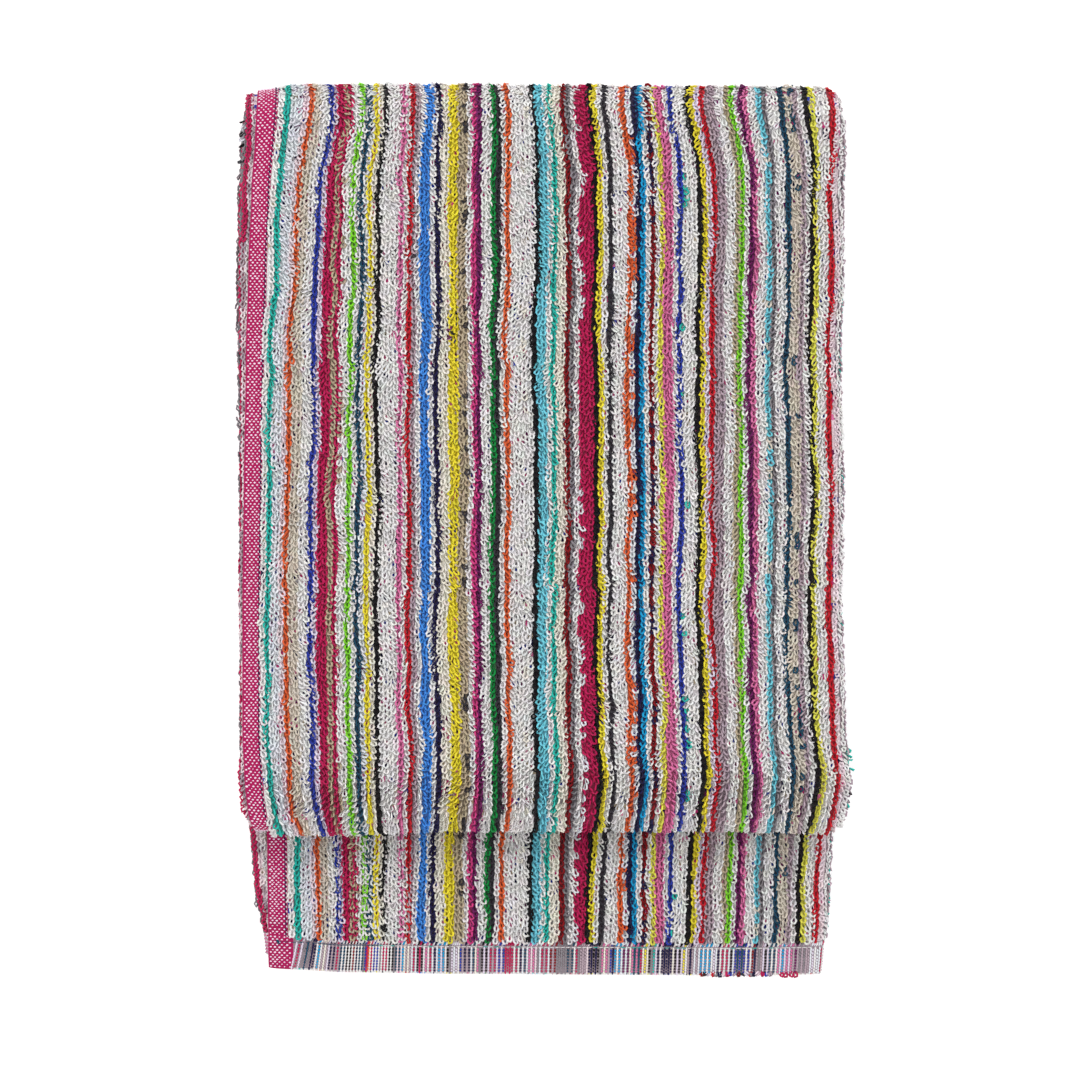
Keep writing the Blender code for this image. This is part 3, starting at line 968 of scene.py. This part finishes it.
def floats(name, stitches, height=GROUND_WOVEN):
    """One object of short yarn floats with tapered ends, on the cloth's face."""
    *sizes, names = zip(*stitches)
    u, v, u_reach, v_reach, radius = np.array(sizes)
    centre, along_u, along_v, normal = cloth_at(u, v)
    half = (along_u * u_reach[:, None] + along_v * v_reach[:, None]) / 2
    side = unit(np.cross(normal, half))
    rings = np.empty((len(u), len(FLOAT_RINGS), FLOAT_CORNERS, 3))
    for place, ring in enumerate(FLOAT_RINGS):
        middle = centre + half * ring.along + normal * (height + ring.rise)
        wide = side * (radius * ring.swell)[:, None]
        tall = normal * (radius * ring.swell * FLOAT_FLATNESS)[:, None]
        rings[:, place] = np.stack([middle + wide, middle + tall, middle - wide, middle - tall], 1)
    colours = np.repeat(linear(*names), len(FLOAT_RINGS) * FLOAT_CORNERS, axis=0)
    return tube_object(name, rings, colours)


def dots(name, random, rows, columns, is_shifted):
    """Rows of pale dots, each row half a dot from the last."""
    stitches = []
    for number, v in enumerate(rows):
        late = number % 2
        for column in range(columns - late):
            u = FIRST_DOT_U + (column + 0.5 * late) * DOT_PITCH_U
            size = random.normal(1, DOT_SCATTER)
            off_u, off_v = random.normal(0, DOT_SHIFT) if is_shifted else (0.0, 0.0)
            stitches.append(Float(u + off_u, v + off_v, DOT_LENGTH * size, 0.0, DOT_RADIUS * size, "petal"))
    return floats(name, stitches)


def selvage_rows():
    """V of every row of dots on the selvage: round the wrap, down the flap and on the strip."""
    shown = ((WRAP_V - DOTS_UNDER, UNDER_V), (STRIP_V, END_V - HEM))
    return [v for start, end in shown for v in np.arange(start, end, DOT_PITCH_V)]


def selvage_dots(random):
    return dots("selvage_dots", random, selvage_rows(), DOT_COLUMNS, True)


def hem_dots(random):
    """The selvage's own dots where they run on over the hem's start."""
    rows = np.arange(END_V - HEM + 0.5, END_V - RIB_GAP, DOT_PITCH_V)
    return dots("hem_dots", random, rows, DOT_COLUMNS + 1, False)


def selvage_stitching():
    """The broken navy and white line between the selvage and the pile."""
    stitches = [one._replace(v=v + one.v) for v in selvage_rows()[::2] for one in STITCHES]
    return floats("selvage_stitching", stitches, GROUND_WOVEN + STITCH_RISE)


def draw_colours(random, mixture, count, ending):
    """A row of colours drawn from the mixture, each kept for a turn or two, with this ending."""
    bag = in_turn(mixture)
    drawn = []
    while len(drawn) < count:
        drawn += [bag[random.integers(len(bag))]] * random.integers(1, RIB_RUN + 1)
    return drawn[:count - len(ending)] + list(ending)


def hem_slant(u, v):
    """How far the ribs lean along U on their way down the hem."""
    return -HEM_SLANT * (v - (END_V - HEM)) * fade(u, (HEM_SLANT_REACH, 0.0))


def hem_ribs(random):
    """The hem's ribs and the broken ones between them, each bent where the hem is turned under."""
    count = math.floor((BOTTOM_U - HEM_START_U) / RIB_PITCH / 2)
    ribs = draw_colours(random, RIB_MIX, count, LAST_RIBS)
    dashes = draw_colours(random, DASH_MIX, count, LAST_DASHES)
    stitches = []
    for number in range(count):
        for late, colour, length in ((0, ribs[number], RIB_LENGTH), (1, dashes[number], DASH_LENGTH)):
            u = HEM_START_U + RIB_INSET + (2 * number + late) * RIB_PITCH
            start = SEWING_V + (0.5 + 0.5 * late) * DASH_PITCH
            for v in np.arange(start, END_V - RIB_GAP, DASH_PITCH):
                stitches.append(Float(u + hem_slant(u, v), v + random.normal(0, DASH_SCATTER), 0.0,
                                      length * DASH_PITCH, RIB_RADIUS, colour))
            u = u + hem_slant(u, SEWING_V)
            stitches.append(TURNED_RIB._replace(u=u + TURNED_RIB.u, v=SEWING_V + TURNED_RIB.v, colour=colour))
    return floats("hem_ribs", stitches)


def fold_ribs():
    """Ribs where the two hems come round the side folds, under the visible ones."""
    stitches = []
    for ribs in FOLD_RIBS:
        for number, u in enumerate(np.arange(ribs.u, ribs.end_u, RIB_PITCH)):
            late = DASH_PITCH / 2 * (number % 2)
            colour = ribs.colours[number % len(ribs.colours)]
            for v in np.arange(ribs.v + late, ribs.end_v, DASH_PITCH):
                stitches.append(Float(u, v, 0.0, FOLD_RIB_LENGTH * DASH_PITCH, FOLD_RIB_RADIUS, colour))
    return floats("fold_ribs", stitches)


def sewing_line(random):
    """The line of stitches that holds the hem, with a small knot at its start."""
    stitches = []
    for u in np.arange(SEWING_START_U, SEWING_END_U, SEWING_PITCH):
        if u < DARK_SEWING_U:
            colour = "petrol"
        else:
            colour = "white" if random.random() < WHITE_SHARE else "teal"
        stitches.append(Float(u, SEWING_V, SEWING_LENGTH, 0.0, SEWING_RADIUS, colour))
    stitches += [one._replace(v=SEWING_V + one.v) for one in KNOT]
    return floats("sewing_line", stitches, GROUND_WOVEN + SEWING_RISE)


# Materials

def material(name, looks):
    """A new material with these looks, its nodes and its shader."""
    made = bpy.data.materials.new(name)
    made.use_nodes = True
    shader = made.node_tree.nodes["Principled BSDF"]
    for socket, value in looks.items():
        shader.inputs[socket].default_value = value
    return made, made.node_tree, shader


def yarn_material():
    """Spun cotton: the colour of each yarn, with fine fibre noise."""
    made, tree, shader = material("cotton_yarn", COTTON_LOOKS)
    colour = tree.nodes.new("ShaderNodeVertexColor")
    colour.layer_name = "Yarn"
    noise = tree.nodes.new("ShaderNodeTexNoise")
    noise.inputs["Scale"].default_value = FIBRE_SCALE
    noise.inputs["Detail"].default_value = FIBRE_DETAIL
    fibres = tree.nodes.new("ShaderNodeMapRange")
    fibres.inputs["To Min"].default_value, fibres.inputs["To Max"].default_value = FIBRE_SHADES
    tint = tree.nodes.new("ShaderNodeVectorMath")
    tint.operation = "SCALE"
    tree.links.new(noise.outputs["Fac"], fibres.inputs["Value"])
    tree.links.new(colour.outputs["Color"], tint.inputs[0])
    tree.links.new(fibres.outputs["Result"], tint.inputs["Scale"])
    tree.links.new(tint.outputs["Vector"], shader.inputs["Base Color"])
    return made


class Value:
    """A number or colour in a material's nodes, which works in sums like a plain number."""

    def __init__(self, tree, socket):
        self.tree, self.socket = tree, socket

    def math(self, operation, *others):
        return math_node(self.tree, operation, self, *others)

    __add__ = partialmethod(math, "ADD")
    __sub__ = partialmethod(math, "SUBTRACT")
    __mul__ = partialmethod(math, "MULTIPLY")
    __truediv__ = partialmethod(math, "DIVIDE")
    above = partialmethod(math, "GREATER_THAN")
    below = partialmethod(math, "LESS_THAN")

    def __rsub__(self, other):
        return math_node(self.tree, "SUBTRACT", other, self)

    def brightness(self):
        node = self.tree.nodes.new("ShaderNodeRGBToBW")
        wire(self, node.inputs["Color"])
        return Value(self.tree, node.outputs["Val"])

    def blend(self, under, over):
        """Colour under, with this share of colour over on it."""
        node = self.tree.nodes.new("ShaderNodeMix")
        node.data_type = "RGBA"
        wire(self, node.inputs["Factor"])
        wire(under, node.inputs["A"])
        wire(over, node.inputs["B"])
        return Value(self.tree, node.outputs["Result"])


def wire(value, socket):
    """Gives the socket a plain value, or joins it to the node that the value comes from."""
    if isinstance(value, Value):
        value.tree.links.new(value.socket, socket)
    else:
        socket.default_value = value


def math_node(tree, operation, *terms):
    node = tree.nodes.new("ShaderNodeMath")
    node.operation = operation
    for term, socket in zip(terms, node.inputs):
        wire(term, socket)
    return Value(tree, node.outputs[0])


def step_ramp(place, colours):
    """The colour at this place on a ramp of equal hard steps."""
    ramp = place.tree.nodes.new("ShaderNodeValToRGB")
    ramp.color_ramp.interpolation = "CONSTANT"
    steps = ramp.color_ramp.elements
    steps[1].position = 1 / len(colours)
    for number in range(2, len(colours)):
        steps.new(number / len(colours))
    for step, colour in zip(steps, colours):
        step.color = (*colour, 1.0)
    wire(place, ramp.inputs["Fac"])
    return Value(place.tree, ramp.outputs["Color"])


def chart_colour(yarn):
    """The chart's colour for a yarn number, from one ramp after another."""
    colour = (0.5, 0.5, 0.5, 1)
    for start in range(0, len(YARN_COLOURS), RAMP_STEPS):
        ramp = step_ramp((yarn - start) / RAMP_STEPS, YARN_COLOURS[start:start + RAMP_STEPS])
        colour = yarn.above(start).blend(colour, ramp)
    return colour


def painted_loop(yarn, v):
    """The height of a ring of yarn in each cell of the pile's grid, where the pile is bump alone."""
    late = yarn.math("FLOOR").math("MODULO", 2.0) * 0.5
    cell_u = yarn.math("FRACT") - 0.5
    cell_v = ((v / LOOP_PITCH + late).math("FRACT") - 0.5) * PAINTED_LENGTH
    off_ring = ((cell_u * cell_u + cell_v * cell_v).math("SQRT") - PAINTED_RADIUS).math("ABSOLUTE")
    return (1.0 - off_ring * PAINTED_SHARPNESS).math("MAXIMUM", 0.0)


def speck_chance(yarn, v):
    """A random number for each cell of the pile's grid."""
    cell = yarn.tree.nodes.new("ShaderNodeCombineXYZ")
    wire(yarn.math("FLOOR"), cell.inputs["X"])
    wire((v / LOOP_PITCH).math("FLOOR"), cell.inputs["Y"])
    chance = yarn.tree.nodes.new("ShaderNodeTexWhiteNoise")
    chance.noise_dimensions = "2D"
    wire(Value(yarn.tree, cell.outputs["Vector"]), chance.inputs["Vector"])
    return Value(yarn.tree, chance.outputs["Value"])


def shade(name, share):
    """A darker shade of a named colour, for a socket."""
    return (*(linear(name)[0] * share), 1)


def pile_ground(yarn, v, striped, loop, bare):
    """The stripes under the loops: darkened as painted shade between the loops, with specks of other yarns,
    and painted loops where it is bare.
    """
    is_pale = striped.brightness().above(PALE)
    # Painted shade: the stripes darkened where they lie between the loops
    shaded = (GROUND_SHADE_SHARE - is_pale * PALE_LIFT).blend(striped, GROUND_PAINTED_SHADE)
    chance = speck_chance(yarn, v)
    specks = step_ramp((chance * SPECK_SHUFFLE).math("FRACT"), linear(*SPECKS))
    specked = (is_pale * chance.below(SPECK_SHARE)).blend(shaded, specks)
    return bare.blend(specked, loop.blend(shaded, striped))


def hem_ground(u, v, striped, in_hem):
    """The hems' ground: mauve, darkened as painted shade, under the ribs of the visible hem, and painted ribs
    elsewhere.
    """
    white_rib = (u * (math.pi / RIB_PITCH)).math("SINE").above(0.0)
    ribbed = (white_rib * HEM_WHITE).blend(striped, shade("white", HEM_WHITE))
    covered = u.below(BOTTOM_U) * v.below(END_V - HEM_RIM) * in_hem
    # Painted shade between the visible hem's ribs: the covered ground is darkened mauve
    return covered.blend(ribbed, shade("mauve", HEM_GROUND_PAINTED_SHADE))


def ground_material():
    """The woven ground: stripes under the pile, ribbed hems and flat borders."""
    made, tree, shader = material("woven_ground", COTTON_LOOKS)
    uv = tree.nodes.new("ShaderNodeUVMap")
    uv.uv_map = "OFBake"
    place = tree.nodes.new("ShaderNodeSeparateXYZ")
    tree.links.new(uv.outputs["UV"], place.inputs["Vector"])
    u = Value(tree, place.outputs["X"]) * END_U
    v = Value(tree, place.outputs["Y"]) * END_V
    yarn = (u.math("PINGPONG", LEFT_FOLD_U / 2) - MARGIN_YARN_U) / YARN_PITCH + 0.5
    striped = chart_colour(yarn)
    loop = painted_loop(yarn, v)
    bare = v.below(BARE_V)
    rib = (v * (math.tau / WEAVE_V)).math("SINE")
    weave = rib * BORDER_RIB[0] + BORDER_RIB[1]
    border = weave.blend(shade("cerise", BORDER_SHADE), shade("maroon", BORDER_DARK))
    in_hem = v.above(END_V - HEM)
    in_hems = in_hem.math("MAXIMUM", v.below(HEM))
    colour = in_hems.blend(pile_ground(yarn, v, striped, loop, bare), hem_ground(u, v, striped, in_hem))
    colour = u.below(in_hems * (HEM_START_U - SELVAGE) + SELVAGE).blend(colour, border)
    colour = u.above(END_U - SELVAGE).blend(colour, border)
    wire(colour, shader.inputs["Base Color"])
    across_rib = (u * (math.tau / WEAVE_U)).math("SINE")
    bump = tree.nodes.new("ShaderNodeBump")
    bump.inputs["Strength"].default_value = WEAVE_STRENGTH
    bump.inputs["Distance"].default_value = WEAVE_RELIEF
    wire(rib + across_rib + bare * loop * LOOP_RELIEF, bump.inputs["Height"])
    tree.links.new(bump.outputs["Normal"], shader.inputs["Normal"])
    return made


# Scene

def floor():
    mesh = bpy.data.meshes.new("floor")
    corners = [(x * FLOOR_REACH, y * FLOOR_REACH, 0) for x, y in ((-1, -1), (1, -1), (1, 1), (-1, 1))]
    mesh.from_pydata(corners, [], [(0, 1, 2, 3)])
    mesh.materials.append(material("pale_floor", PALE_LOOKS)[0])
    return placed("floor", mesh)


def camera():
    data = bpy.data.cameras.new("camera")
    data.sensor_width = SENSOR
    data.lens = SENSOR * CAMERA_DISTANCE / FRAME_WIDTH
    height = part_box(NODE)[1].z + CAMERA_DISTANCE
    bpy.context.scene.camera = placed("camera", data, (*FRAME_CENTRE, height))


def light(lamp):
    """A round lamp that points at the towel."""
    data = bpy.data.lights.new(lamp.name, "AREA")
    data.shape = "DISK"
    data.size = lamp.size
    data.energy = lamp.power
    x, y, z = lamp.place
    turn = (math.atan2(math.hypot(x, y), z), 0.0, math.atan2(x, -y))
    placed(lamp.name, data, lamp.place).rotation_euler = turn


def studio():
    scene = bpy.context.scene
    world = bpy.data.worlds.new("studio")
    world.use_nodes = True
    glow = world.node_tree.nodes["Background"].inputs
    glow["Color"].default_value = (1, 1, 1, 1)
    glow["Strength"].default_value = WORLD_STRENGTH
    scene.world = world
    scene.view_settings.view_transform = "Standard"
    for lamp in LAMPS:
        light(lamp)


def dress(thing, made):
    thing.data.materials.append(made)
    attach(thing, BODY)


def main():
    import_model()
    random = np.random.default_rng(SEED)
    camera()
    studio()
    floor()
    sheet = ground_sheet()
    dress(sheet, ground_material())
    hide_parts(NODE)
    pieces = pile(random) + [
        stray_loops(random),
        end_loops("hem_end_loops", random, HEM_ENDS),
        end_loops("hem_cluster", random, CLUSTER_ENDS),
        selvage_dots(random),
        selvage_stitching(),
        hem_ribs(random),
        fold_ribs(),
        hem_dots(random),
        sewing_line(random),
    ]
    yarn = yarn_material()
    for piece in pieces:
        dress(piece, yarn)


main()
